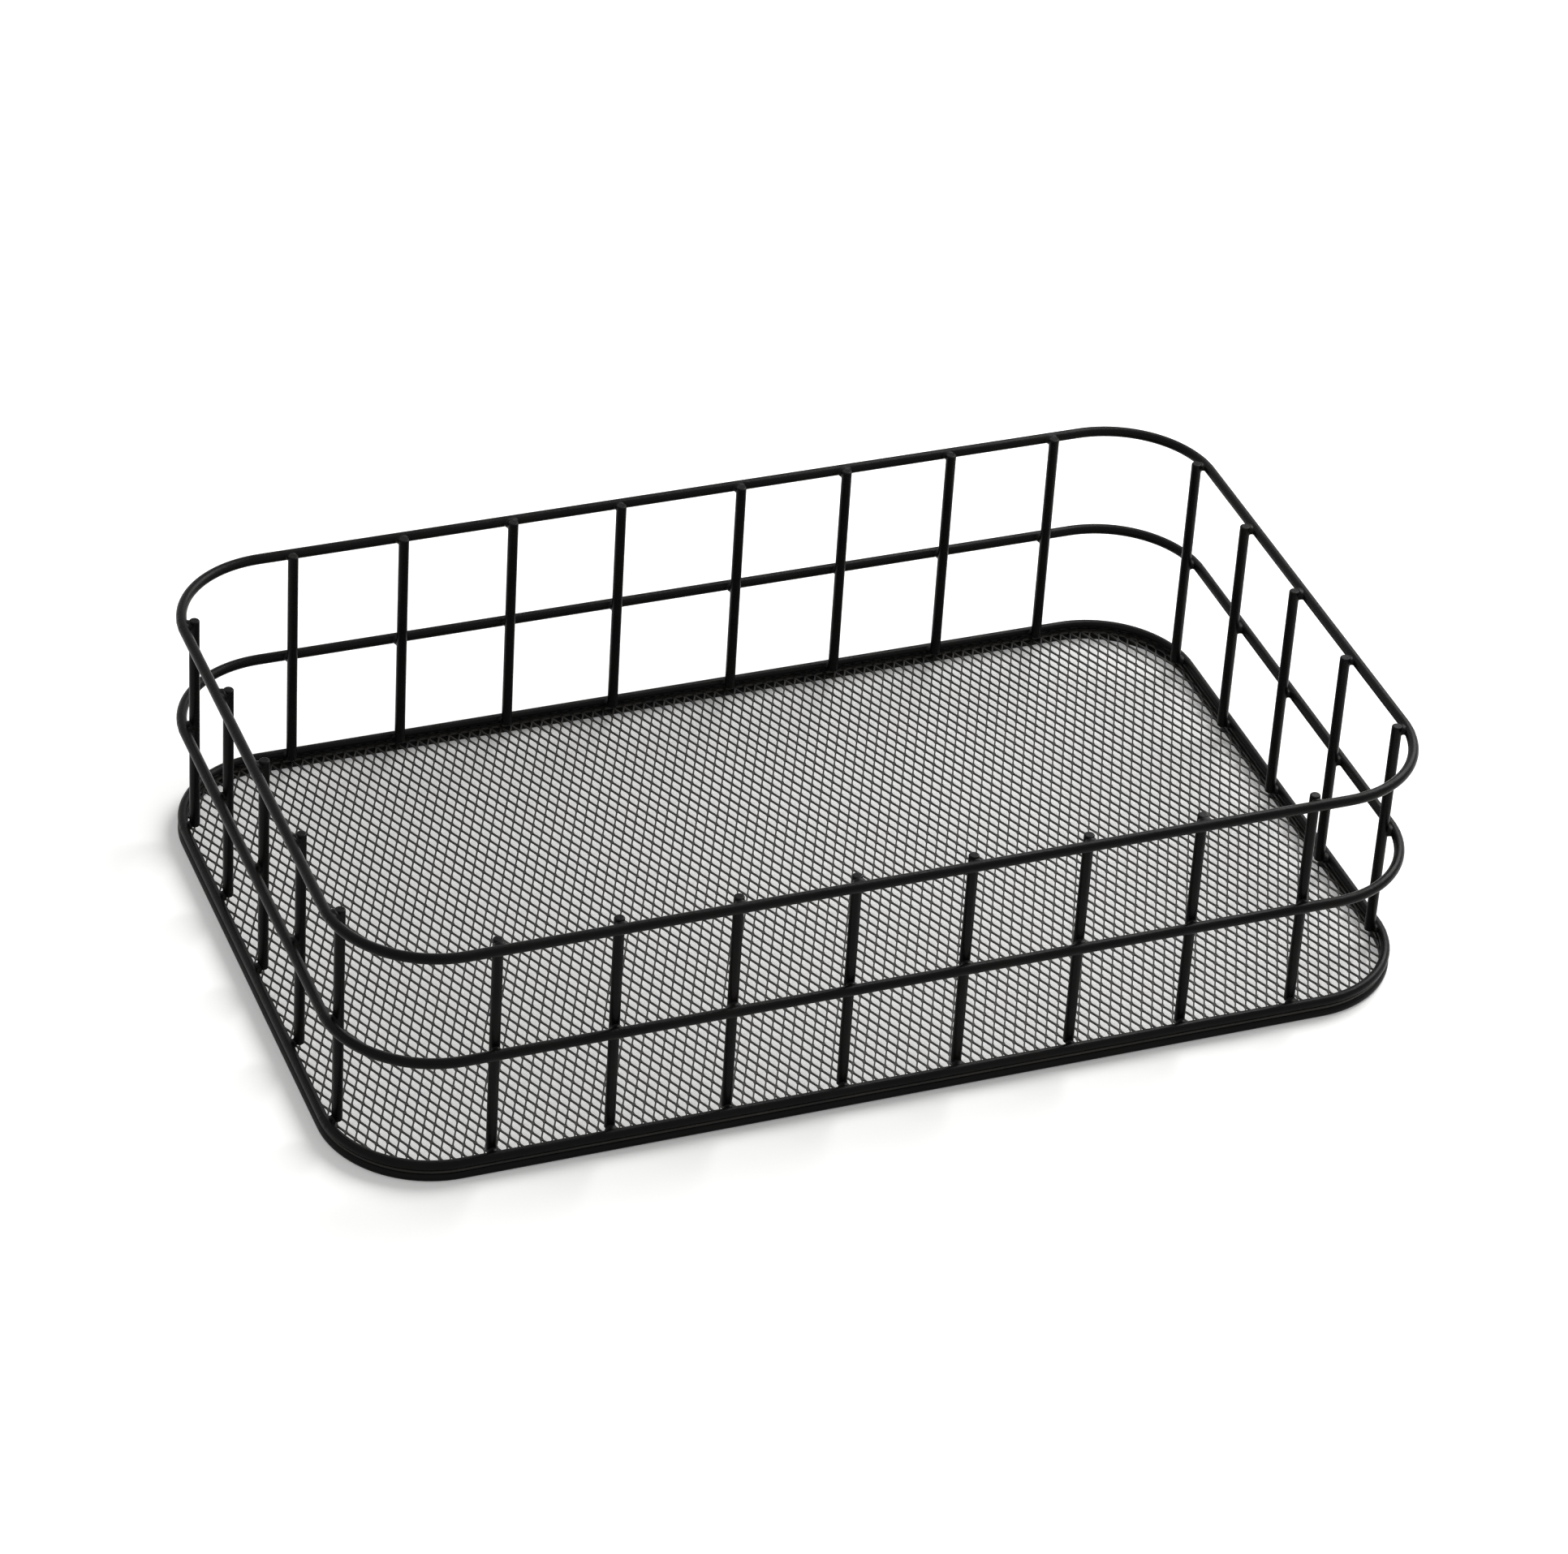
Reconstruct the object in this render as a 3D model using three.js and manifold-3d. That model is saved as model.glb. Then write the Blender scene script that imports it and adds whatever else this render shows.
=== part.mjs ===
// Iron wire storage basket: two wall hoops, a doubled base hoop that grips a floor of
// expanded mesh, and a row of upright wires inside the hoops on each of the four walls.
// Millimetres, +X along the length, +Y to the back, +Z up, origin under the middle of the base.

import * as THREE from 'three';
import { mergeVertices } from 'three/addons/utils/BufferGeometryUtils.js';
import Module from 'manifold-3d';

// Overall size, outside of the rim hoop
const LENGTH = 250;
const WIDTH = 156;
const HEIGHT = 60;
const CORNER_RADIUS = 25;

// Wire gauges
const RIM_WIRE = 2.4;
const BASE_WIRE = 2.2;
const UPRIGHT_WIRE = 2.4;

// Height of the middle hoop's centre line
const MIDDLE_HEIGHT = 31.4;

// Uprights on each wall, and how far the outermost ones stand from the wall's ends, along the hoops
const LONG_WALL_COUNT = 8;
const LONG_WALL_MARGIN = 32.25;
const SHORT_WALL_COUNT = 5;
const SHORT_WALL_MARGIN = 22.6;
const CUT_END_CHAMFER = 0.3;

// The back wall's middle gap is wider than its other gaps by this much
const BACK_MIDDLE_EXTRA = 3.2;

// Floor of expanded mesh, drawn with fewer and wider gaps than the fine one it stands for.
// The diamonds are counted along the two middle lines of the floor, and their long way lies across it.
const MESH_THICKNESS = 0.6;
const MESH_STRAND = 1.2;
const MESH_DIAMONDS_LONG = 20;
const MESH_DIAMONDS_SHORT = 6;

// Clearances at the welds and where the base hoops grip the mesh
const WELD_GAP = 0.2;
const GRIP_GAP = 0.1;

// Facets
const WIRE_SIDES = 10;
const UPRIGHT_SIDES = 12;
const CORNER_STEPS = 8;

const wasm = await Module();
wasm.setup();

const wirePaint = new THREE.MeshStandardMaterial({ color: 0x1b1b1a, roughness: 0.5, metalness: 0.2 });
const meshPaint = new THREE.MeshStandardMaterial({ color: 0x242422, roughness: 0.6, metalness: 0.2 });

// Heights, from the surface that the basket stands on. The base hoop's lowest facets lie flat on it.
const lowerBaseHeight = BASE_WIRE / 2 * Math.cos(Math.PI / WIRE_SIDES);
const meshBottom = lowerBaseHeight + BASE_WIRE / 2 + GRIP_GAP;
const meshTop = meshBottom + MESH_THICKNESS;
const upperBaseHeight = meshTop + GRIP_GAP + BASE_WIRE / 2;
const rimHeight = HEIGHT - RIM_WIRE / 2;

// Depths inwards from the rim's outer face. All hoops share one inner face, which the uprights touch.
const rimDepth = RIM_WIRE / 2;
const baseDepth = RIM_WIRE - BASE_WIRE / 2;
const uprightDepth = RIM_WIRE + WELD_GAP + UPRIGHT_WIRE / 2;

// A closed rectangle with round corners, at a depth inwards from the rim's outer face.
// Each corner takes CORNER_STEPS equal steps, and each straight side one step.
class HoopLine extends THREE.Curve {
  constructor(depth) {
    super();
    this.radius = CORNER_RADIUS - depth;
    this.steps = 4 * (CORNER_STEPS + 1);
  }

  // The corner's number, the turn about its centre, and the way along the side after it
  locate(u) {
    const step = (u % 1) * this.steps;
    const corner = Math.floor(step / (CORNER_STEPS + 1));
    const inCorner = step - corner * (CORNER_STEPS + 1);
    const turn = (corner + Math.min(inCorner / CORNER_STEPS, 1)) * Math.PI / 2;
    return { corner, turn, along: Math.max(inCorner - CORNER_STEPS, 0) };
  }

  cornerPoint(corner, turn) {
    const signX = corner === 0 || corner === 3 ? 1 : -1;
    const signY = corner < 2 ? 1 : -1;
    const x = signX * (LENGTH / 2 - CORNER_RADIUS) + this.radius * Math.cos(turn);
    const y = signY * (WIDTH / 2 - CORNER_RADIUS) + this.radius * Math.sin(turn);
    return new THREE.Vector3(x, y, 0);
  }

  getPointAt(u) {
    const { corner, turn, along } = this.locate(u);
    const start = this.cornerPoint(corner, turn);
    return along > 0 ? start.lerp(this.cornerPoint((corner + 1) % 4, turn), along) : start;
  }

  // Section axes along the line, inwards and upwards, so that facets lie flat on top and below
  computeFrenetFrames(segments) {
    const frames = { tangents: [], normals: [], binormals: [] };
    for (let step = 0; step <= segments; step += 1) {
      const { turn } = this.locate(step / segments);
      frames.tangents.push(new THREE.Vector3(-Math.sin(turn), Math.cos(turn), 0));
      frames.normals.push(new THREE.Vector3(-Math.cos(turn), -Math.sin(turn), 0));
      frames.binormals.push(new THREE.Vector3(0, 0, 1));
    }
    return frames;
  }
}

// A hoop of round wire, bent to the basket's plan and closed on itself
function hoop(name, wire, depth, height) {
  const line = new HoopLine(depth);
  const geometry = new THREE.TubeGeometry(line, line.steps, wire / 2, WIRE_SIDES, true);
  const mesh = new THREE.Mesh(geometry, wirePaint);
  mesh.name = name;
  mesh.position.z = height;
  return mesh;
}

// The plan outline at a depth inwards from the rim's outer face, as a flat shape
function outline(depth) {
  const line = new HoopLine(depth);
  const points = [];
  for (let step = 0; step < line.steps; step += 1) {
    points.push(line.getPointAt(step / line.steps));
  }
  return new THREE.Shape(points.map((point) => new THREE.Vector2(point.x, point.y)));
}

function slab(shape, bottom, thickness) {
  const geometry = new THREE.ExtrudeGeometry(shape, { depth: thickness, bevelEnabled: false });
  return geometry.translate(0, 0, bottom);
}

function toSolid(geometry) {
  const bare = geometry.clone();
  bare.deleteAttribute('normal');
  bare.deleteAttribute('uv');
  const merged = mergeVertices(bare);
  return new wasm.Manifold(new wasm.Mesh({
    numProp: 3,
    vertProperties: merged.getAttribute('position').array,
    triVerts: Uint32Array.from(merged.getIndex().array),
  }));
}

function toGeometry(solid) {
  const { vertProperties, triVerts } = solid.getMesh();
  const geometry = new THREE.BufferGeometry();
  geometry.setAttribute('position', new THREE.BufferAttribute(vertProperties, 3));
  geometry.setIndex(new THREE.BufferAttribute(triVerts, 1));
  geometry.computeVertexNormals();
  return geometry;
}

// One diamond gap of the floor, as wide as its cell less half a strand on each of its four sides
function diamond(cellLong, cellShort, bottom, thickness) {
  const halfLong = cellLong / 2;
  const halfShort = cellShort / 2;
  const toStrand = halfLong * halfShort / Math.hypot(halfLong, halfShort);
  const share = 1 - MESH_STRAND / 2 / toStrand;
  const tips = [[halfLong, 0], [0, halfShort], [-halfLong, 0], [0, -halfShort]];
  const shape = new THREE.Shape(tips.map(([x, y]) => new THREE.Vector2(x * share, y * share)));
  return toSolid(slab(shape, bottom, thickness));
}

// The floor: a flat net whose rim is gripped between the two base hoops. Its gaps stand in staggered
// rows, those at the straight sides are half diamonds, and those at the corners follow the bend.
function floorMesh() {
  const sheet = toSolid(slab(outline(baseDepth), meshBottom, MESH_THICKNESS));
  const openDepth = RIM_WIRE;
  const cellLong = (LENGTH - 2 * openDepth) / MESH_DIAMONDS_LONG;
  const cellShort = (WIDTH - 2 * openDepth) / MESH_DIAMONDS_SHORT;
  const cutHeight = 3 * MESH_THICKNESS;
  const cutBottom = meshBottom - MESH_THICKNESS;
  const gap = diamond(cellLong, cellShort, cutBottom, cutHeight);
  const gaps = [];
  for (let column = 0; column <= 2 * MESH_DIAMONDS_LONG; column += 1) {
    for (let row = column % 2; row <= 2 * MESH_DIAMONDS_SHORT; row += 2) {
      const x = (column - MESH_DIAMONDS_LONG) * cellLong / 2;
      const y = (row - MESH_DIAMONDS_SHORT) * cellShort / 2;
      gaps.push(gap.translate(x, y, 0));
    }
  }
  const open = toSolid(slab(outline(openDepth), cutBottom, cutHeight));
  const cuts = wasm.Manifold.union(gaps).intersect(open);
  const mesh = new THREE.Mesh(toGeometry(sheet.subtract(cuts)), meshPaint);
  mesh.name = 'floor_mesh';
  return mesh;
}

// One upright: a straight cut wire from the upper base hoop to the top of the rim
function upright(name, place) {
  const radius = UPRIGHT_WIRE / 2;
  const profile = [
    new THREE.Vector2(0, upperBaseHeight),
    new THREE.Vector2(radius - CUT_END_CHAMFER, upperBaseHeight),
    new THREE.Vector2(radius, upperBaseHeight + CUT_END_CHAMFER),
    new THREE.Vector2(radius, HEIGHT - CUT_END_CHAMFER),
    new THREE.Vector2(radius - CUT_END_CHAMFER, HEIGHT),
    new THREE.Vector2(0, HEIGHT),
  ];
  const geometry = new THREE.LatheGeometry(profile, UPRIGHT_SIDES).rotateX(Math.PI / 2);
  const mesh = new THREE.Mesh(geometry, wirePaint);
  mesh.name = name;
  mesh.position.set(place.x, place.y, 0);
  return mesh;
}

// A place on the uprights' line, at a distance along it from the middle of a wall whose half
// length and distance from the centre are given. Past the straight stretch it follows the corner.
function placeOnWall(along, halfLength, distance) {
  const straight = halfLength - CORNER_RADIUS;
  const radius = CORNER_RADIUS - uprightDepth;
  const turn = Math.max(Math.abs(along) - straight, 0) / radius;
  const reach = Math.min(Math.abs(along), straight) + radius * Math.sin(turn);
  return new THREE.Vector2(Math.sign(along) * reach, distance - CORNER_RADIUS + radius * Math.cos(turn));
}

// The uprights of one wall, evenly spaced but for any extra in the middle gap.
// They are numbered from left to right on the long walls and from back to front on the short ones.
function wall(name, size, middleExtra, toPlan) {
  const { count, margin, halfLength, distance } = size;
  const pitch = (2 * (halfLength - margin) - middleExtra) / (count - 1);
  const group = new THREE.Group();
  for (let number = 1; number <= count; number += 1) {
    const fromMiddle = number - (count + 1) / 2;
    const along = fromMiddle * pitch + Math.sign(fromMiddle) * middleExtra / 2;
    const place = placeOnWall(along, halfLength, distance);
    group.add(upright(`upright_${name}_${number}`, toPlan(place.x, place.y)));
  }
  return group;
}

const basket = new THREE.Group();
basket.name = 'iron_storage_basket';
basket.add(hoop('rim_hoop', RIM_WIRE, rimDepth, rimHeight));
basket.add(hoop('middle_hoop', RIM_WIRE, rimDepth, MIDDLE_HEIGHT));
basket.add(hoop('base_upper_hoop', BASE_WIRE, baseDepth, upperBaseHeight));
basket.add(floorMesh());
basket.add(hoop('base_lower_hoop', BASE_WIRE, baseDepth, lowerBaseHeight));

const longWall = {
  count: LONG_WALL_COUNT,
  margin: LONG_WALL_MARGIN,
  halfLength: LENGTH / 2,
  distance: WIDTH / 2,
};
const shortWall = {
  count: SHORT_WALL_COUNT,
  margin: SHORT_WALL_MARGIN,
  halfLength: WIDTH / 2,
  distance: LENGTH / 2,
};
basket.add(wall('front', longWall, 0, (along, out) => new THREE.Vector2(along, -out)));
basket.add(wall('back', longWall, BACK_MIDDLE_EXTRA, (along, out) => new THREE.Vector2(along, out)));
basket.add(wall('left', shortWall, 0, (along, out) => new THREE.Vector2(-out, -along)));
basket.add(wall('right', shortWall, 0, (along, out) => new THREE.Vector2(out, -along)));

export default basket;
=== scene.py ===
"""Dresses the frame of a low iron wire basket: coated hoops and uprights, their welds and a mesh floor."""
import math

import bmesh
import bpy
from mathutils import Matrix, Vector


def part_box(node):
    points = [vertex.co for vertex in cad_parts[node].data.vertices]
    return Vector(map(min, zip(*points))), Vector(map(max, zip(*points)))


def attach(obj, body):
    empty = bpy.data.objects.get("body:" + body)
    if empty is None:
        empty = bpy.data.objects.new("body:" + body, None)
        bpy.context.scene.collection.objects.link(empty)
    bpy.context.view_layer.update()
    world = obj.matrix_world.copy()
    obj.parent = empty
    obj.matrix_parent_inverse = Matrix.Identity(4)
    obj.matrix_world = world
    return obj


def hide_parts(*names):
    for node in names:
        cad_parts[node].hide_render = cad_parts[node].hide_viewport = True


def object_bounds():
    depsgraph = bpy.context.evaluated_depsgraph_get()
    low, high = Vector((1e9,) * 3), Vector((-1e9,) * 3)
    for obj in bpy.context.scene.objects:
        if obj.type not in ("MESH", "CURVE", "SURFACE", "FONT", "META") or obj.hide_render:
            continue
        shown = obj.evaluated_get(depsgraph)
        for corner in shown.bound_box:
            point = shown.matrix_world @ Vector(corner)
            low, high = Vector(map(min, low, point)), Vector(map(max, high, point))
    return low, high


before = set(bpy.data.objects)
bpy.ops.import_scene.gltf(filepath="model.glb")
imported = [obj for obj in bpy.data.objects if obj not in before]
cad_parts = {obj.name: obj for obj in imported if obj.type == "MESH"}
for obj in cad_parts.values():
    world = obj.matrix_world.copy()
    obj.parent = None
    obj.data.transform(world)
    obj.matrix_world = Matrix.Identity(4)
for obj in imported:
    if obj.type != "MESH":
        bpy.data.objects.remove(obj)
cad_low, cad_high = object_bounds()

bl_info = {
    "name": "Iron Storage Basket",
    "version": (1, 0, 0),
    "blender": (4, 5, 0),
    "location": "View3D > Sidebar > Basket",
    "description": "Makes the wires, welds and mesh floor of a low iron basket, on a white stage",
    "category": "Object",
}

MM = 0.001

# The photograph's frame, in pixels
IMAGE_WIDTH = 1932
IMAGE_HEIGHT = 1915

# How finely round shapes are cut
WIRE_SIDES = 24
CORNER_STEPS = 24
RUN_STEP = 4 * MM
CUT_END_STEPS = 4

# Points of a sheet that lie this close together are one point
TOUCH = 0.001 * MM

# A noise texture's values mostly lie between these two
NOISE_LOW = 0.3
NOISE_HIGH = 0.7

# The frame's hoops, each with its wire and the piece that stands for it
HOOPS = {
    "rim_hoop": ("rim_gauge", "rim_hoop_wire"),
    "middle_hoop": ("rim_gauge", "middle_hoop_wire"),
    "base_upper_hoop": ("base_gauge", "base_upper_hoop_wire"),
    "base_lower_hoop": ("base_gauge", "base_lower_hoop_wire"),
}
UPRIGHTS = sorted(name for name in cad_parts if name.startswith("upright_"))
UP = Vector((0, 0, 1))


def linear(hex_colour):
    """The linear red, green and blue of an sRGB colour written as #rrggbb."""
    channels = [int(hex_colour[place:place + 2], 16) / 255 for place in (1, 3, 5)]
    return [c / 12.92 if c <= 0.04045 else ((c + 0.055) / 1.055) ** 2.4 for c in channels]


class BasketWireSizes(bpy.types.PropertyGroup):
    """Gauges and bends of the hoops and uprights."""

    rim_gauge: bpy.props.FloatProperty(
        name="Rim gauge",
        description="Diameter of the wire of the rim and middle hoops",
        default=2.4 * MM,
        subtype="DISTANCE",
        unit="LENGTH",
    )
    base_gauge: bpy.props.FloatProperty(
        name="Base gauge",
        description="Diameter of the wire of the two base hoops",
        default=2.2 * MM,
        subtype="DISTANCE",
        unit="LENGTH",
    )
    upright_gauge: bpy.props.FloatProperty(
        name="Upright gauge",
        description="Diameter of the uprights' wire",
        default=2.4 * MM,
        subtype="DISTANCE",
        unit="LENGTH",
    )
    corner_radius: bpy.props.FloatProperty(
        name="Corner radius",
        description="Radius of the basket's corners, outside the rim",
        default=25 * MM,
        subtype="DISTANCE",
        unit="LENGTH",
    )
    cut_end_round: bpy.props.FloatProperty(
        name="Cut end rounding",
        description="Radius of the softened edge where an upright is cut off",
        default=0.35 * MM,
        subtype="DISTANCE",
        unit="LENGTH",
    )


class BasketWeldSizes(bpy.types.PropertyGroup):
    """The welds where uprights cross the hoops."""

    nugget: bpy.props.FloatVectorProperty(
        name="Nugget",
        description="Half sizes of the melted metal between two wires: along the hoop, across, upwards",
        default=(1.45 * MM, 0.95 * MM, 1.1 * MM),
        subtype="XYZ",
        unit="LENGTH",
    )
    unevenness: bpy.props.FloatProperty(
        name="Unevenness",
        description="Share by which the nuggets of welds made by hand are larger or smaller",
        default=0.14,
        subtype="FACTOR",
        min=0,
        max=0.5,
    )
    reach: bpy.props.FloatProperty(
        name="Reach",
        description="How far the fillet runs out along each wire",
        default=1.9 * MM,
        subtype="DISTANCE",
        unit="LENGTH",
    )
    grain: bpy.props.FloatProperty(
        name="Grain",
        description="Size of the facets that the fillet is made of",
        default=0.18 * MM,
        subtype="DISTANCE",
        unit="LENGTH",
    )
    softness: bpy.props.IntProperty(
        name="Softness",
        description="How often the fillet is smoothed, as the coating rounds it off",
        default=8,
    )


class BasketMeshSizes(bpy.types.PropertyGroup):
    """The floor's expanded mesh."""

    short_way: bpy.props.FloatProperty(
        name="Short way",
        description="Pitch of the diamonds along the basket's length",
        default=2.525 * MM,
        subtype="DISTANCE",
        unit="LENGTH",
    )
    long_way: bpy.props.FloatProperty(
        name="Long way",
        description="Pitch of the diamonds across the basket",
        default=5.556 * MM,
        subtype="DISTANCE",
        unit="LENGTH",
    )
    bond: bpy.props.FloatProperty(
        name="Bond",
        description="Length of the joint between two neighbouring strands",
        default=0.9 * MM,
        subtype="DISTANCE",
        unit="LENGTH",
    )
    strand_width: bpy.props.FloatProperty(
        name="Strand width",
        description="Width of a strand, coating included",
        default=0.37 * MM,
        subtype="DISTANCE",
        unit="LENGTH",
    )
    strand_thickness: bpy.props.FloatProperty(
        name="Strand thickness",
        description="Thickness of the sheet, coating included",
        default=0.4 * MM,
        subtype="DISTANCE",
        unit="LENGTH",
    )


class BasketColours(bpy.types.PropertyGroup):
    """Colours of the coating and of the stage."""

    wire_dark: bpy.props.FloatVectorProperty(
        name="Wire, thick coat",
        description="Black of the coating on the wires, where it lies thick",
        default=linear("#060606"),
        subtype="COLOR",
        min=0,
        max=1,
    )
    wire_light: bpy.props.FloatVectorProperty(
        name="Wire, thin coat",
        description="Black of the coating on the wires, where it lies thin",
        default=linear("#110f0e"),
        subtype="COLOR",
        min=0,
        max=1,
    )
    mesh_dark: bpy.props.FloatVectorProperty(
        name="Mesh, thick coat",
        description="Black of the coating on the mesh, where it lies thick",
        default=linear("#10100f"),
        subtype="COLOR",
        min=0,
        max=1,
    )
    mesh_light: bpy.props.FloatVectorProperty(
        name="Mesh, thin coat",
        description="Black of the coating on the mesh, where it lies thin",
        default=linear("#24211d"),
        subtype="COLOR",
        min=0,
        max=1,
    )
    paper: bpy.props.FloatVectorProperty(
        name="Paper",
        description="White of the paper that the basket stands on",
        default=linear("#f7f7f5"),
        subtype="COLOR",
        min=0,
        max=1,
    )


class BasketStage(bpy.types.PropertyGroup):
    """Camera, light and floor."""

    view_turn: bpy.props.FloatProperty(
        name="View turn",
        description="Where the camera stands round the basket, from the front towards the right",
        default=math.radians(-22.51),
        subtype="ANGLE",
        unit="ROTATION",
    )
    view_rise: bpy.props.FloatProperty(
        name="View rise",
        description="Height of the camera above the horizon",
        default=math.radians(35.38),
        subtype="ANGLE",
        unit="ROTATION",
    )
    view_roll: bpy.props.FloatProperty(
        name="View roll",
        description="Tilt of the camera about its own line of sight",
        default=math.radians(3.84),
        subtype="ANGLE",
        unit="ROTATION",
    )
    view_distance: bpy.props.FloatProperty(
        name="View distance",
        description="Distance of the camera from the point that it looks at",
        default=1352.65 * MM,
        subtype="DISTANCE",
        unit="LENGTH",
    )
    view_centre: bpy.props.FloatVectorProperty(
        name="View centre",
        description="The point that the camera looks at",
        default=(0.31 * MM, 2.49 * MM, 30 * MM),
        subtype="XYZ",
        unit="LENGTH",
    )
    focal_pixels: bpy.props.FloatProperty(
        name="Focal length",
        description="Focal length in pixels of the photograph's frame",
        default=7453.8,
    )
    key_turn: bpy.props.FloatProperty(
        name="Key light turn",
        description="Where the key light stands round the basket, from the front towards the right",
        default=math.radians(115),
        subtype="ANGLE",
        unit="ROTATION",
    )
    key_rise: bpy.props.FloatProperty(
        name="Key light rise",
        description="Height of the key light above the horizon",
        default=math.radians(48),
        subtype="ANGLE",
        unit="ROTATION",
    )
    key_distance: bpy.props.FloatProperty(
        name="Key light distance",
        description="Distance of the key light from the basket",
        default=0.75,
        subtype="DISTANCE",
        unit="LENGTH",
    )
    key_width: bpy.props.FloatProperty(
        name="Key light width",
        description="Diameter of the key light's round screen, which sets how soft the shadows are",
        default=0.6,
        subtype="DISTANCE",
        unit="LENGTH",
    )
    key_level: bpy.props.FloatProperty(
        name="Key light level",
        description="Share of a white sheet's brightness that comes from the key light",
        default=0.72,
        subtype="FACTOR",
    )
    fill_level: bpy.props.FloatProperty(
        name="Fill light level",
        description="Share of a white sheet's brightness that comes from all round",
        default=0.33,
        subtype="FACTOR",
    )
    floor_size: bpy.props.FloatProperty(
        name="Floor size",
        description="Length of the sides of the paper",
        default=16.0,
        subtype="DISTANCE",
        unit="LENGTH",
    )


class Shell:
    """Points and faces gathered for one piece."""

    def __init__(self):
        self.points = []
        self.faces = []

    def add_tube(self, rings, closed=False):
        """Joins rings of points into a tube, closed on itself or capped at both ends."""
        start = len(self.points)
        sides = len(rings[0])
        for ring in rings:
            self.points.extend(ring)
        spans = len(rings) if closed else len(rings) - 1
        for span in range(spans):
            near = start + span * sides
            far = start + (span + 1) % len(rings) * sides
            for side in range(sides):
                beside = (side + 1) % sides
                self.faces.append((near + side, near + beside, far + beside, far + side))
        if not closed:
            end = start + (len(rings) - 1) * sides
            self.faces.append(tuple(range(start, start + sides)))
            self.faces.append(tuple(range(end, end + sides)))

    def add_copy(self, mesh, place):
        """Adds a mesh at a place given by a matrix."""
        start = len(self.points)
        self.points.extend(place @ vertex.co for vertex in mesh.vertices)
        for polygon in mesh.polygons:
            self.faces.append(tuple(start + vertex for vertex in polygon.vertices))


def fuse(form):
    """Makes one sheet of parts that touch: drops the pairs of faces that lie on each other, and merges
    the points around them."""
    merged = bmesh.ops.find_doubles(form, verts=form.verts, dist=TOUCH)["targetmap"]
    places = {}
    for face in form.faces:
        corners = frozenset(merged.get(vertex, vertex) for vertex in face.verts)
        places.setdefault(corners, []).append(face)
    inner = [face for faces in places.values() if len(faces) > 1 for face in faces]
    bmesh.ops.delete(form, geom=inner, context="FACES_ONLY")
    bmesh.ops.weld_verts(form, targetmap=merged)


def add_piece(context, name, shell, material, nodes=(), sheet=False):
    """Makes a piece that rides on the basket and stands for the given nodes of the frame. A sheet has
    flat faces and is fused where its parts touch, and a wire is shaded round."""
    mesh = bpy.data.meshes.new(name)
    mesh.from_pydata(shell.points, [], shell.faces)
    form = bmesh.new()
    form.from_mesh(mesh)
    if sheet:
        fuse(form)
    bmesh.ops.recalc_face_normals(form, faces=form.faces)
    for face in form.faces:
        cut_end = len(face.verts) == WIRE_SIDES
        face.smooth = not sheet and not cut_end
    form.to_mesh(mesh)
    form.free()
    mesh.materials.append(material)
    piece = bpy.data.objects.new(name, mesh)
    context.scene.collection.objects.link(piece)
    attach(piece, "root")
    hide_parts(*nodes)


def add_node(tree, kind, inputs=None, **settings):
    """Adds a node with its settings; each input takes a value or another node's output."""
    node = tree.nodes.new(kind)
    for name, value in settings.items():
        setattr(node, name, value)
    for name, value in (inputs or {}).items():
        if isinstance(value, bpy.types.NodeSocket):
            tree.links.new(value, node.inputs[name])
        else:
            node.inputs[name].default_value = value
    return node


def new_tree(owner):
    """An empty node tree of a new material or world."""
    owner.use_nodes = True
    owner.node_tree.nodes.clear()
    return owner.node_tree


# Satin black powder coat, baked on drawn iron wire. To the eye it is a deep black with a dim highlight
# along each wire. The highlight wavers with the ripple of the melted powder, which is shinier in some
# patches than in others, and the black is a little browner where the coat lies thin. The real ripple is
# about 0.4 mm long, which is too fine to show, so it is drawn twice as coarse.
def satin_black_powder_coat(colours):
    name = "satin_black_powder_coat_on_drawn_iron_wire"
    if name in bpy.data.materials:
        return bpy.data.materials[name]
    blotch_size = 14 * MM
    gloss_patch_size = 5 * MM
    ripple_size = 0.8 * MM
    ripple_height = 0.05 * MM
    thick_below, thin_above = 0.35, 0.75
    shiniest, dullest = 0.26, 0.42
    material = bpy.data.materials.new(name)
    tree = new_tree(material)
    place = add_node(tree, "ShaderNodeTexCoord").outputs["Object"]
    blotch = add_node(tree, "ShaderNodeTexNoise", {
        "Vector": place,
        "Scale": 1 / blotch_size,
        "Detail": 4,
    })
    depth = add_node(tree, "ShaderNodeValToRGB", {"Fac": blotch.outputs["Fac"]})
    thick, thin = depth.color_ramp.elements
    thick.position, thick.color = thick_below, (*colours.wire_dark, 1)
    thin.position, thin.color = thin_above, (*colours.wire_light, 1)
    patch = add_node(tree, "ShaderNodeTexNoise", {
        "Vector": place,
        "Scale": 1 / gloss_patch_size,
        "Detail": 3,
    })
    gloss = add_node(tree, "ShaderNodeMapRange", {
        "Value": patch.outputs["Fac"],
        "From Min": NOISE_LOW,
        "From Max": NOISE_HIGH,
        "To Min": shiniest,
        "To Max": dullest,
    })
    ripple = add_node(tree, "ShaderNodeTexNoise", {
        "Vector": place,
        "Scale": 1 / ripple_size,
        "Detail": 2,
    })
    bump = add_node(tree, "ShaderNodeBump", {
        "Height": ripple.outputs["Fac"],
        "Strength": 1.0,
        "Distance": ripple_height,
    })
    coat = add_node(tree, "ShaderNodeBsdfPrincipled", {
        "Base Color": depth.outputs["Color"],
        "Roughness": gloss.outputs["Result"],
        "IOR": 1.5,
        "Specular IOR Level": 0.07,
        "Normal": bump.outputs["Normal"],
    })
    add_node(tree, "ShaderNodeOutputMaterial", {"Surface": coat.outputs["BSDF"]})
    return material


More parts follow.
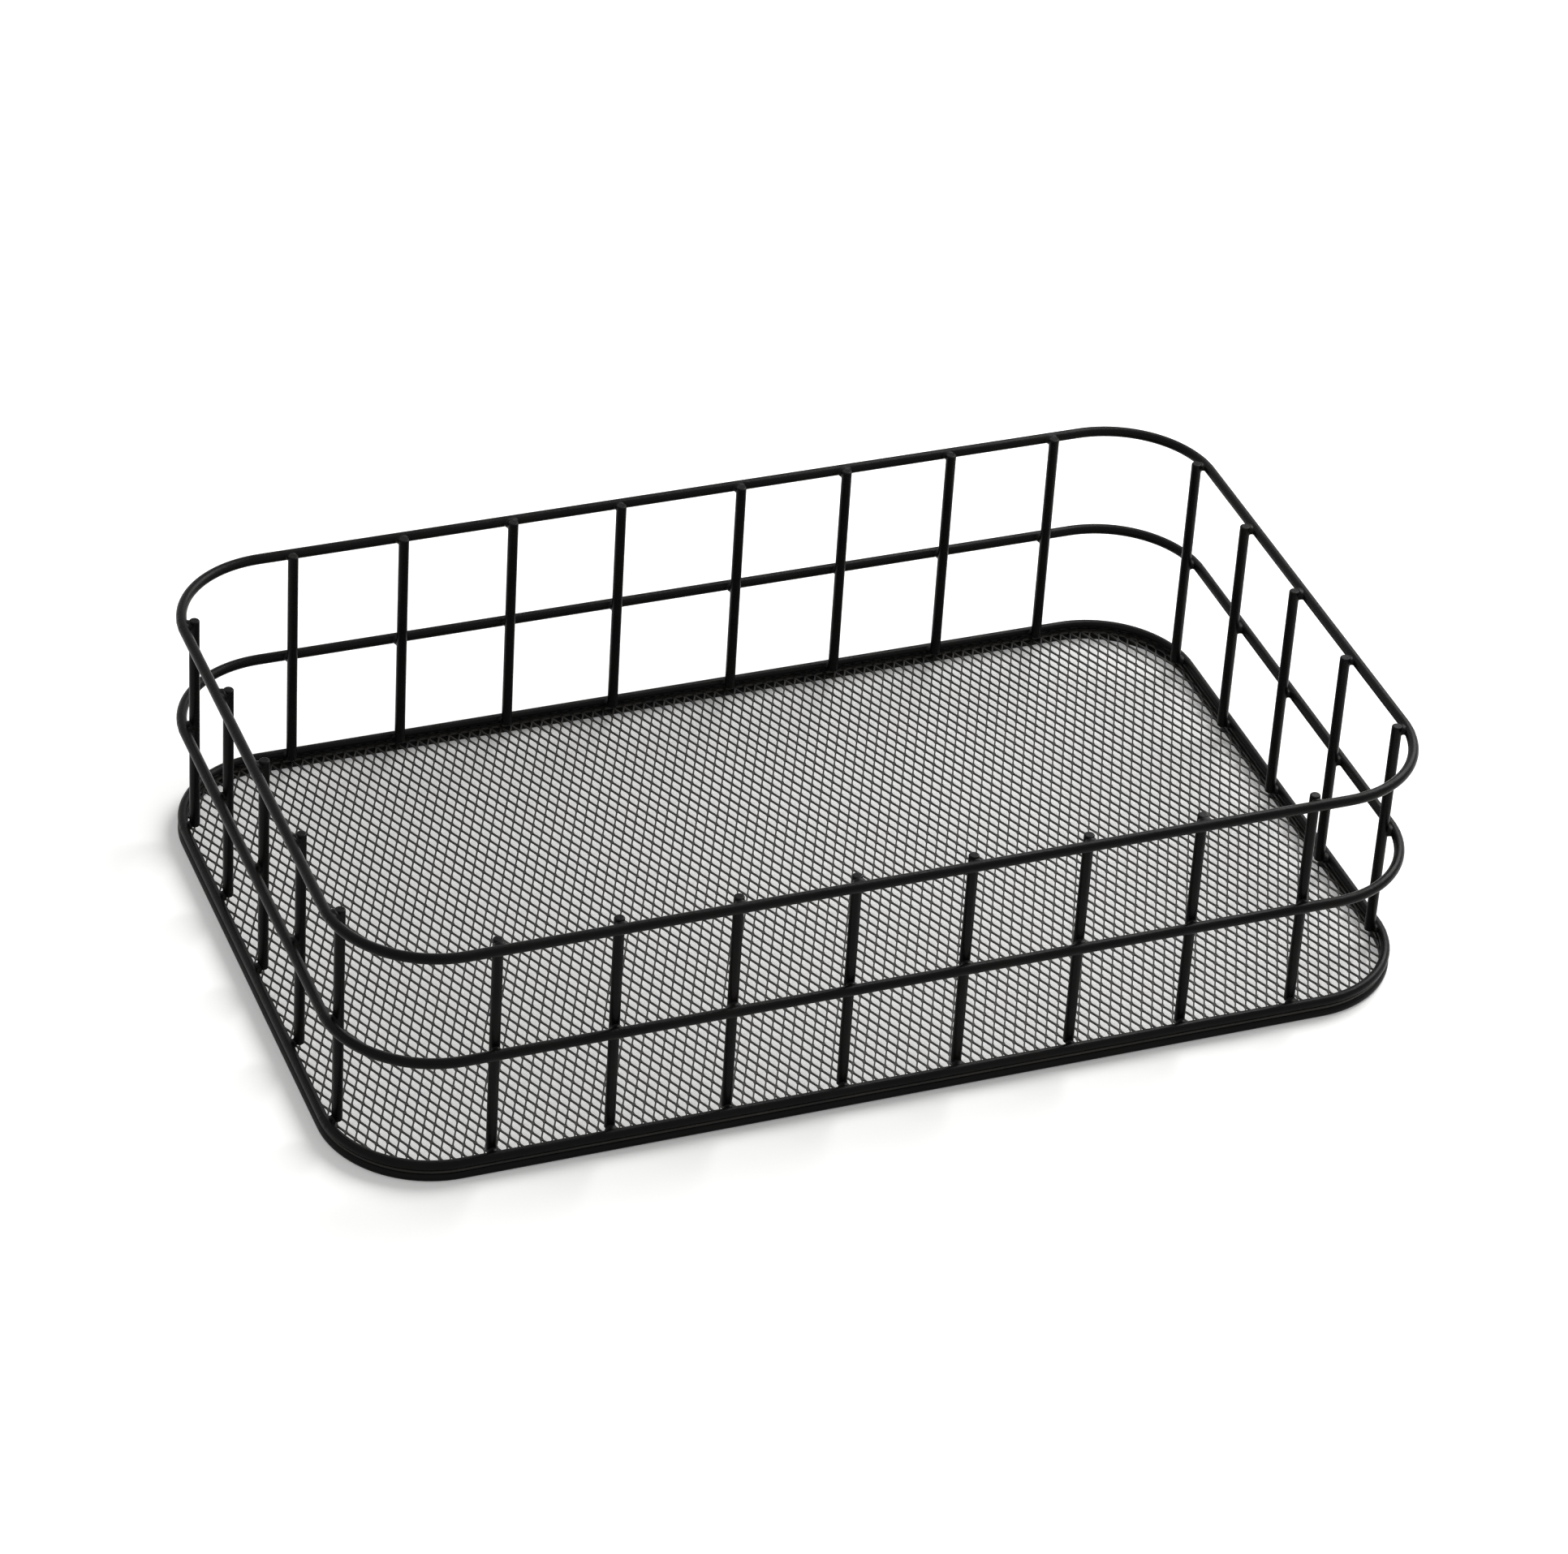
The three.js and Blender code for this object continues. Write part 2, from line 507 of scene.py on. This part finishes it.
# Thin black dip coat on slit and stretched iron sheet. To the eye each strand is a dull black line,
# a little browner and duller than the wires, because the coat draws back from the sheared edges. Its
# gloss and its surface change every half millimetre or so, little more than the width of a strand.
def black_dip_coat_on_mesh(colours):
    name = "black_dip_coat_on_expanded_iron_mesh"
    if name in bpy.data.materials:
        return bpy.data.materials[name]
    blotch_size = 9 * MM
    grit_size = 0.5 * MM
    grit_height = 0.02 * MM
    thick_below, thin_above = 0.35, 0.7
    shiniest, dullest = 0.45, 0.65
    material = bpy.data.materials.new(name)
    tree = new_tree(material)
    place = add_node(tree, "ShaderNodeTexCoord").outputs["Object"]
    blotch = add_node(tree, "ShaderNodeTexNoise", {
        "Vector": place,
        "Scale": 1 / blotch_size,
        "Detail": 5,
    })
    depth = add_node(tree, "ShaderNodeValToRGB", {"Fac": blotch.outputs["Fac"]})
    thick, thin = depth.color_ramp.elements
    thick.position, thick.color = thick_below, (*colours.mesh_dark, 1)
    thin.position, thin.color = thin_above, (*colours.mesh_light, 1)
    grit = add_node(tree, "ShaderNodeTexNoise", {
        "Vector": place,
        "Scale": 1 / grit_size,
        "Detail": 2,
    })
    gloss = add_node(tree, "ShaderNodeMapRange", {
        "Value": grit.outputs["Fac"],
        "From Min": NOISE_LOW,
        "From Max": NOISE_HIGH,
        "To Min": shiniest,
        "To Max": dullest,
    })
    bump = add_node(tree, "ShaderNodeBump", {
        "Height": grit.outputs["Fac"],
        "Strength": 1.0,
        "Distance": grit_height,
    })
    coat = add_node(tree, "ShaderNodeBsdfPrincipled", {
        "Base Color": depth.outputs["Color"],
        "Roughness": gloss.outputs["Result"],
        "IOR": 1.5,
        "Specular IOR Level": 0.25,
        "Normal": bump.outputs["Normal"],
    })
    add_node(tree, "ShaderNodeOutputMaterial", {"Surface": coat.outputs["BSDF"]})
    return material


def seen_directly(tree):
    """A socket that is 1 for rays from the camera, or from a mirror or glass, and 0 for the rest."""
    path = add_node(tree, "ShaderNodeLightPath").outputs
    mirrored = add_node(tree, "ShaderNodeMath", {
        0: path["Is Camera Ray"],
        1: path["Is Glossy Ray"],
    }, operation="MAXIMUM")
    shown = add_node(tree, "ShaderNodeMath", {
        0: mirrored.outputs["Value"],
        1: path["Is Transmission Ray"],
    }, operation="MAXIMUM")
    return shown.outputs["Value"]


def distance_from_walls(tree, place):
    """A socket that holds how far a point of the paper lies outside the basket's box, and 0 beneath it."""
    aside = add_node(tree, "ShaderNodeVectorMath", {0: place}, operation="ABSOLUTE")
    past_walls = add_node(tree, "ShaderNodeVectorMath", {
        0: aside.outputs["Vector"],
        1: cad_high,
    }, operation="SUBTRACT")
    outside = add_node(tree, "ShaderNodeVectorMath", {
        0: past_walls.outputs["Vector"],
        1: (0, 0, 0),
    }, operation="MAXIMUM")
    distance = add_node(tree, "ShaderNodeVectorMath", {
        0: outside.outputs["Vector"],
    }, operation="LENGTH")
    return distance.outputs["Value"]


# Matt white paper, which spreads light evenly. A glow that only the camera and mirrors see lifts it to
# the photograph's white. It grows away from the middle, where less of the key light falls, and once more
# just outside the walls, so that the basket's shadow stays on the paper but ends close to the walls.
def matt_white_paper(colours):
    glow_near, glow_far = 0.2, 0.7
    near, far = 90 * MM, 420 * MM
    lift_outside = 0.15
    lift_reach = 25 * MM
    material = bpy.data.materials.new("matt_white_paper")
    tree = new_tree(material)
    place = add_node(tree, "ShaderNodeTexCoord").outputs["Object"]
    from_middle = add_node(tree, "ShaderNodeVectorMath", {0: place}, operation="LENGTH")
    level = add_node(tree, "ShaderNodeMapRange", {
        "Value": from_middle.outputs["Value"],
        "From Min": near,
        "From Max": far,
        "To Min": glow_near,
        "To Max": glow_far,
    })
    lift = add_node(tree, "ShaderNodeMapRange", {
        "Value": distance_from_walls(tree, place),
        "From Max": lift_reach,
        "To Max": lift_outside,
    })
    lifted = add_node(tree, "ShaderNodeMath", {
        0: level.outputs["Result"],
        1: lift.outputs["Result"],
    }, operation="ADD")
    shown = add_node(tree, "ShaderNodeMath", {
        0: seen_directly(tree),
        1: lifted.outputs["Value"],
    }, operation="MULTIPLY")
    glow = add_node(tree, "ShaderNodeEmission", {"Strength": shown.outputs["Value"]})
    sheet = add_node(tree, "ShaderNodeBsdfDiffuse", {"Color": (*colours.paper, 1)})
    both = add_node(tree, "ShaderNodeAddShader", {
        0: sheet.outputs["BSDF"],
        1: glow.outputs["Emission"],
    })
    add_node(tree, "ShaderNodeOutputMaterial", {"Surface": both.outputs["Shader"]})
    return material


def hoop_line(half_length, half_width, radius):
    """Points along a rectangle with round corners, each with the direction that faces out of it."""
    corners = []
    for sign_x, sign_y in ((1, 1), (-1, 1), (-1, -1), (1, -1)):
        corners.append(Vector((sign_x * (half_length - radius), sign_y * (half_width - radius), 0)))
    line = []
    for number, corner in enumerate(corners):
        for step in range(CORNER_STEPS + 1):
            turn = (number + step / CORNER_STEPS) * math.pi / 2
            outward = Vector((math.cos(turn), math.sin(turn), 0))
            line.append((corner + radius * outward, outward))
        start = corner + radius * outward
        run = corners[(number + 1) % len(corners)] + radius * outward - start
        steps = math.ceil(run.length / RUN_STEP)
        line.extend((start + run * (step / steps), outward) for step in range(1, steps))
    return line


def hoop_place(node, gauge, wires):
    """Half length, half width and corner radius of a hoop's centre line, and its height. The frame's
    wires have facets and these are round, so a hoop on the floor is lifted to stand on its lowest line."""
    low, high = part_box(node)
    half_length = high.x - gauge / 2
    half_width = high.y - gauge / 2
    rim_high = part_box("rim_hoop")[1]
    radius = wires.corner_radius - (rim_high.x - half_length)
    height = max((low.z + high.z) / 2, gauge / 2)
    return half_length, half_width, radius, height


def upright_place(node):
    """The middle of an upright's foot, and its height."""
    low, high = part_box(node)
    foot = Vector(((low.x + high.x) / 2, (low.y + high.y) / 2, low.z))
    return foot, high.z - low.z


def wall_at(foot, wires):
    """The direction that faces out of the basket at an upright, and how far in from the rim's outside
    the upright stands."""
    rim_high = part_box("rim_hoop")[1]
    inner_x = rim_high.x - wires.corner_radius
    inner_y = rim_high.y - wires.corner_radius
    nearest = Vector((min(max(foot.x, -inner_x), inner_x), min(max(foot.y, -inner_y), inner_y), foot.z))
    outward = foot - nearest
    return outward.normalized(), wires.corner_radius - outward.length


class BASKET_OT_make_hoops(bpy.types.Operator):
    """Make the rim, middle and base hoops of bent round wire"""

    bl_idname = "basket.make_hoops"
    bl_label = "Make Hoops"

    def execute(self, context):
        wires = context.scene.basket_wires
        finish = satin_black_powder_coat(context.scene.basket_colours)
        for node, (gauge_name, piece_name) in HOOPS.items():
            gauge = getattr(wires, gauge_name)
            half_length, half_width, radius, height = hoop_place(node, gauge, wires)
            rings = []
            for point, outward in hoop_line(half_length, half_width, radius):
                ring = []
                for side in range(WIRE_SIDES):
                    turn = 2 * math.pi * side / WIRE_SIDES
                    reach = outward * math.cos(turn) + UP * math.sin(turn)
                    ring.append(point + UP * height + reach * (gauge / 2))
                rings.append(ring)
            shell = Shell()
            shell.add_tube(rings, closed=True)
            add_piece(context, piece_name, shell, finish, [node])
        return {"FINISHED"}


class BASKET_OT_make_uprights(bpy.types.Operator):
    """Make the straight cut wires that stand inside the hoops"""

    bl_idname = "basket.make_uprights"
    bl_label = "Make Uprights"

    def execute(self, context):
        wires = context.scene.basket_wires
        finish = satin_black_powder_coat(context.scene.basket_colours)
        if not UPRIGHTS:
            raise RuntimeError("the frame has no uprights")
        radius = wires.upright_gauge / 2
        edge = wires.cut_end_round
        bend = [math.pi / 2 * step / CUT_END_STEPS for step in range(CUT_END_STEPS + 1)]
        lower = [(radius - edge + edge * math.sin(turn), edge - edge * math.cos(turn)) for turn in bend]
        for node in UPRIGHTS:
            foot, height = upright_place(node)
            upper = [(width, height - rise) for width, rise in reversed(lower)]
            rings = []
            for width, rise in lower + upper:
                ring = []
                for side in range(WIRE_SIDES):
                    turn = 2 * math.pi * side / WIRE_SIDES
                    ring.append(foot + Vector((width * math.cos(turn), width * math.sin(turn), rise)))
                rings.append(ring)
            shell = Shell()
            shell.add_tube(rings)
            add_piece(context, node + "_wire", shell, finish, [node])
        return {"FINISHED"}


def weld_form(context, hoop_radius, spacing, below, above, swell):
    """One weld as a mesh: the hoop runs along X, the upright along Z through the origin, +Y faces out.
    Short lengths of both wires and the nugget between them are run together and smoothed, so that the
    lengths sink just under the real wires and only the fillet stands out."""
    welds = context.scene.basket_welds
    upright_radius = context.scene.basket_wires.upright_gauge / 2
    form = bmesh.new()
    along_hoop = Matrix.Translation((0, spacing, 0)) @ Matrix.Rotation(math.pi / 2, 4, "Y")
    along_upright = Matrix.Translation((0, 0, (above - below) / 2))
    for radius, length, place in (
        (hoop_radius, 2 * welds.reach, along_hoop),
        (upright_radius, above + below, along_upright),
    ):
        bmesh.ops.create_cone(
            form,
            cap_ends=True,
            segments=WIRE_SIDES,
            radius1=radius,
            radius2=radius,
            depth=length,
            matrix=place,
        )
    touch = upright_radius + (spacing - upright_radius - hoop_radius) / 2
    nugget = Matrix.Translation((0, touch, 0)) @ Matrix.Diagonal((*(Vector(welds.nugget) * swell), 1))
    bmesh.ops.create_uvsphere(
        form,
        u_segments=WIRE_SIDES,
        v_segments=WIRE_SIDES // 2,
        radius=1,
        matrix=nugget,
    )
    rough = bpy.data.meshes.new("weld_form")
    form.to_mesh(rough)
    form.free()
    holder = bpy.data.objects.new("weld_form", rough)
    context.scene.collection.objects.link(holder)
    fused = holder.modifiers.new("fused", "REMESH")
    fused.mode = "VOXEL"
    fused.voxel_size = welds.grain
    rounded = holder.modifiers.new("rounded", "SMOOTH")
    rounded.factor = 0.5
    rounded.iterations = welds.softness
    finished = holder.evaluated_get(context.evaluated_depsgraph_get())
    mesh = bpy.data.meshes.new_from_object(finished)
    bpy.data.objects.remove(holder)
    bpy.data.meshes.remove(rough)
    if not mesh.polygons:
        raise RuntimeError("the weld came out empty")
    return mesh


class BASKET_OT_make_welds(bpy.types.Operator):
    """Make the welds that join each upright to the rim, the middle hoop and the base"""

    bl_idname = "basket.make_welds"
    bl_label = "Make Welds"

    def execute(self, context):
        wires = context.scene.basket_wires
        welds = context.scene.basket_welds
        finish = satin_black_powder_coat(context.scene.basket_colours)
        cut_end = wires.cut_end_round
        rim_end = wires.rim_gauge / 2 - cut_end
        levels = (
            ("rim_hoop", welds.reach, rim_end, "rim_welds"),
            ("middle_hoop", welds.reach, welds.reach, "middle_welds"),
            ("base_upper_hoop", -cut_end, welds.reach, "base_welds"),
        )
        feet = [upright_place(upright)[0] for upright in UPRIGHTS]
        upright_depth = wall_at(feet[0], wires)[1]
        for level, (node, below, above, piece_name) in enumerate(levels):
            gauge = getattr(wires, HOOPS[node][0])
            half_length, _, _, height = hoop_place(node, gauge, wires)
            spacing = upright_depth - (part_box("rim_hoop")[1].x - half_length)
            forms = [
                weld_form(context, gauge / 2, spacing, below, above, 1 + step * welds.unevenness)
                for step in (-1, 0, 1)
            ]
            shell = Shell()
            for number, foot in enumerate(feet):
                outward, _ = wall_at(foot, wires)
                along = outward.cross(UP)
                place = Matrix((along, outward, UP)).transposed().to_4x4()
                place.translation = (foot.x, foot.y, height)
                shell.add_copy(forms[(number + level) % len(forms)], place)
            add_piece(context, piece_name, shell, finish)
            for form in forms:
                bpy.data.meshes.remove(form)
        return {"FINISHED"}


def strand_line(number, end, sizes):
    """Points along one strand of the mesh, between two columns of bonds. The strand lies along each
    column in turn for the length of a bond, and slants over to the other column in between."""
    column = sizes.short_way / 2
    half_strand = sizes.strand_width / 2
    left = number * column + half_strand
    right = (number + 1) * column - half_strand
    half_pitch = sizes.long_way / 2
    slant = half_pitch - sizes.bond
    first_bond = number % 2 * half_pitch
    last = math.ceil(end / half_pitch) + 1
    stops = [-end, end]
    for bond in range(-last, last + 1):
        for side in (-1, 1):
            stop = bond * half_pitch + side * sizes.bond / 2
            if abs(stop) < end:
                stops.append(stop)
    line = []
    for stop in sorted(stops):
        turns = (stop - first_bond) / sizes.long_way
        from_bond = abs(turns - round(turns)) * sizes.long_way
        share = min(max((from_bond - sizes.bond / 2) / slant, 0), 1)
        line.append(Vector((left + (right - left) * share, stop, 0)))
    return line


class BASKET_OT_make_floor_mesh(bpy.types.Operator):
    """Make the floor of expanded mesh, whose edge is held between the two base hoops"""

    bl_idname = "basket.make_floor_mesh"
    bl_label = "Make Floor Mesh"

    def execute(self, context):
        wires = context.scene.basket_wires
        sizes = context.scene.basket_mesh
        finish = black_dip_coat_on_mesh(context.scene.basket_colours)
        half_length, half_width, radius, _ = hoop_place("base_upper_hoop", wires.base_gauge, wires)
        low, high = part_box("floor_mesh")
        height = (low.z + high.z) / 2
        section = [
            Vector((side_x * sizes.strand_width / 2, 0, height + side_z * sizes.strand_thickness / 2))
            for side_x, side_z in ((-1, -1), (1, -1), (1, 1), (-1, 1))
        ]
        column = sizes.short_way / 2
        count = math.floor(half_length / column)
        shell = Shell()
        for number in range(-count, count):
            widest = max(abs(number), abs(number + 1)) * column
            into_corner = max(widest - (half_length - radius), 0)
            end = half_width - radius + math.sqrt(radius ** 2 - into_corner ** 2)
            shell.add_tube([
                [point + corner for corner in section]
                for point in strand_line(number, end, sizes)
            ])
        margin_inwards = wires.base_gauge / 2
        margin_outwards = wires.base_gauge / 4
        margin = []
        for point, outward in hoop_line(half_length, half_width, radius):
            inner = point - outward * margin_inwards
            outer = point + outward * margin_outwards
            margin.append([
                inner + UP * low.z,
                outer + UP * low.z,
                outer + UP * high.z,
                inner + UP * high.z,
            ])
        shell.add_tube(margin, closed=True)
        add_piece(context, "floor_expanded_mesh", shell, finish, ["floor_mesh"], sheet=True)
        return {"FINISHED"}


def direction(turn, rise):
    """The direction at an angle round the basket, from the front towards the right, and a height."""
    flat = math.cos(rise)
    return Vector((math.sin(turn) * flat, -math.cos(turn) * flat, math.sin(rise)))


def add_camera(scene, stage):
    """Sets the camera where the photograph was taken from."""
    view = bpy.data.cameras.new("view")
    view.lens = stage.focal_pixels * view.sensor_width / max(IMAGE_WIDTH, IMAGE_HEIGHT)
    view.clip_end = 2 * stage.floor_size
    camera = bpy.data.objects.new("view", view)
    scene.collection.objects.link(camera)
    towards_camera = direction(stage.view_turn, stage.view_rise)
    camera.location = Vector(stage.view_centre) + towards_camera * stage.view_distance
    level = (-towards_camera).to_track_quat("-Z", "Y").to_matrix()
    camera.rotation_euler = (level @ Matrix.Rotation(stage.view_roll, 3, "Z")).to_euler()
    scene.camera = camera


def add_key_light(scene, stage):
    """Hangs a round soft light over the basket's right side and aims it at the basket."""
    key = bpy.data.lights.new("key_light", "AREA")
    key.shape = "DISK"
    key.size = stage.key_width
    radius = stage.key_width / 2
    share_of_sky = radius ** 2 / (radius ** 2 + stage.key_distance ** 2)
    radiance = stage.key_level / (share_of_sky * math.sin(stage.key_rise))
    key.energy = math.pi * radiance * math.pi * radius ** 2
    holder = bpy.data.objects.new("key_light", key)
    scene.collection.objects.link(holder)
    towards_key = direction(stage.key_turn, stage.key_rise)
    holder.location = towards_key * stage.key_distance
    holder.rotation_euler = towards_key.to_track_quat("Z", "Y").to_euler()


def add_white_room(scene, stage):
    """Fills the shadows from all round, and looks white to the camera and in mirrors."""
    white = 1.0
    world = bpy.data.worlds.new("white_room")
    tree = new_tree(world)
    strength = add_node(tree, "ShaderNodeMapRange", {
        "Value": seen_directly(tree),
        "To Min": stage.fill_level,
        "To Max": white,
    })
    room = add_node(tree, "ShaderNodeBackground", {
        "Color": (1, 1, 1, 1),
        "Strength": strength.outputs["Result"],
    })
    add_node(tree, "ShaderNodeOutputWorld", {"Surface": room.outputs["Background"]})
    scene.world = world


def add_paper(scene, stage, colours):
    """Lays the white paper that the basket stands on."""
    half = stage.floor_size / 2
    corners = [(-half, -half, 0), (half, -half, 0), (half, half, 0), (-half, half, 0)]
    sheet = bpy.data.meshes.new("paper")
    sheet.from_pydata(corners, [], [(0, 1, 2, 3)])
    sheet.materials.append(matt_white_paper(colours))
    paper = bpy.data.objects.new("paper", sheet)
    scene.collection.objects.link(paper)


class BASKET_OT_make_stage(bpy.types.Operator):
    """Make the camera, the light and the white paper that the basket stands on"""

    bl_idname = "basket.make_stage"
    bl_label = "Make Stage"

    def execute(self, context):
        scene = context.scene
        add_camera(scene, scene.basket_stage)
        add_key_light(scene, scene.basket_stage)
        add_white_room(scene, scene.basket_stage)
        add_paper(scene, scene.basket_stage, scene.basket_colours)
        scene.view_settings.view_transform = "Standard"
        return {"FINISHED"}


class BASKET_PT_pieces(bpy.types.Panel):
    """Lists what makes the basket, with its sizes and colours"""

    bl_idname = "BASKET_PT_pieces"
    bl_label = "Iron Storage Basket"
    bl_space_type = "VIEW_3D"
    bl_region_type = "UI"
    bl_category = "Basket"

    def draw(self, context):
        layout = self.layout
        for operator in OPERATORS:
            layout.operator(operator.bl_idname)
        for group in GROUPS:
            box = layout.box()
            settings = getattr(context.scene, group)
            for name in settings.__annotations__:
                box.prop(settings, name)


GROUPS = {
    "basket_wires": BasketWireSizes,
    "basket_welds": BasketWeldSizes,
    "basket_mesh": BasketMeshSizes,
    "basket_colours": BasketColours,
    "basket_stage": BasketStage,
}
OPERATORS = (
    BASKET_OT_make_stage,
    BASKET_OT_make_hoops,
    BASKET_OT_make_uprights,
    BASKET_OT_make_welds,
    BASKET_OT_make_floor_mesh,
)


def register():
    for kind in (*GROUPS.values(), *OPERATORS, BASKET_PT_pieces):
        bpy.utils.register_class(kind)
    for name, kind in GROUPS.items():
        setattr(bpy.types.Scene, name, bpy.props.PointerProperty(type=kind))


def unregister():
    for name in GROUPS:
        delattr(bpy.types.Scene, name)
    for kind in (BASKET_PT_pieces, *reversed(OPERATORS), *reversed(GROUPS.values())):
        bpy.utils.unregister_class(kind)


def main():
    register()
    bpy.ops.basket.make_stage()
    bpy.ops.basket.make_hoops()
    bpy.ops.basket.make_uprights()
    bpy.ops.basket.make_welds()
    bpy.ops.basket.make_floor_mesh()


if __name__ == "__main__":
    main()
